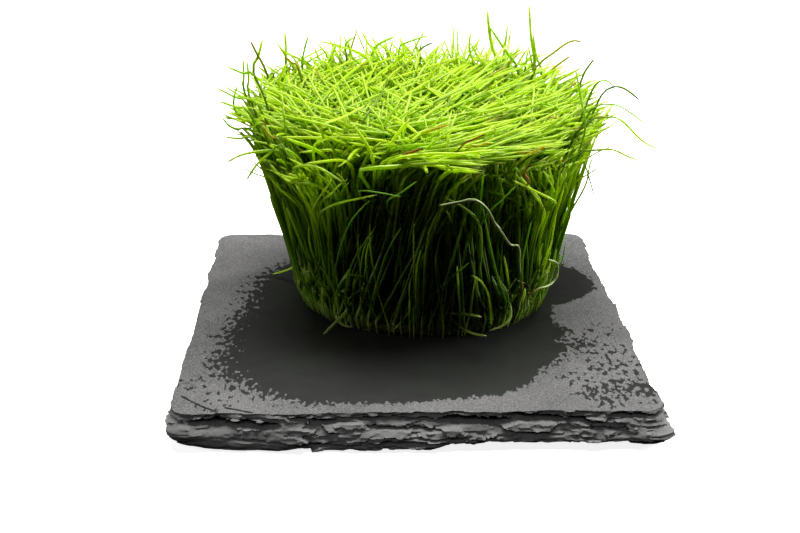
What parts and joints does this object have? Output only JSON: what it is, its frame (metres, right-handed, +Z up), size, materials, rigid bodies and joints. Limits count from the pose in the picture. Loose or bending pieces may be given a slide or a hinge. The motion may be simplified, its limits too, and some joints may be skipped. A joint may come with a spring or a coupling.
{
  "type": "dwarf hairgrass plug on slate",
  "caption": "Round plug of upright dwarf hairgrass, wider at its combed-over top, standing on a square riven slate with a layered, chipped edge.",
  "frame": {"origin": "middle of the slate's underside, on the surface that it rests on", "axes": "+Z up along the grass, -Y towards the front, where the grass is combed over and the bare runner shows"},
  "size_m": [0.1078, 0.1107, 0.072],
  "materials": {
    "slate": "matte",
    "roots": "matte",
    "grass": "satin",
    "runner": "satin"
  },
  "bodies": {
    "root": {"slate_slab": "slate", "root_mat": "roots", "tuft_01": "grass", "tuft_02": "grass", "tuft_03": "grass", "tuft_04": "grass", "tuft_05": "grass", "tuft_06": "grass", "tuft_07": "grass", "tuft_08": "grass", "tuft_09": "grass", "tuft_10": "grass", "tuft_11": "grass", "tuft_12": "grass", "tuft_13": "grass", "tuft_14": "grass", "tuft_15": "grass", "tuft_16": "grass", "tuft_17": "grass", "tuft_18": "grass", "tuft_19": "grass", "tuft_20": "grass", "tuft_21": "grass", "tuft_22": "grass", "tuft_23": "grass", "tuft_24": "grass", "tuft_25": "grass", "tuft_26": "grass", "tuft_27": "grass", "tuft_28": "grass", "tuft_29": "grass", "tuft_30": "grass", "tuft_31": "grass", "tuft_32": "grass", "tuft_33": "grass", "tuft_34": "grass", "tuft_35": "grass", "tuft_36": "grass", "tuft_37": "grass", "runner_front": "runner", "runner_side": "runner"}
  },
  "joints": []
}
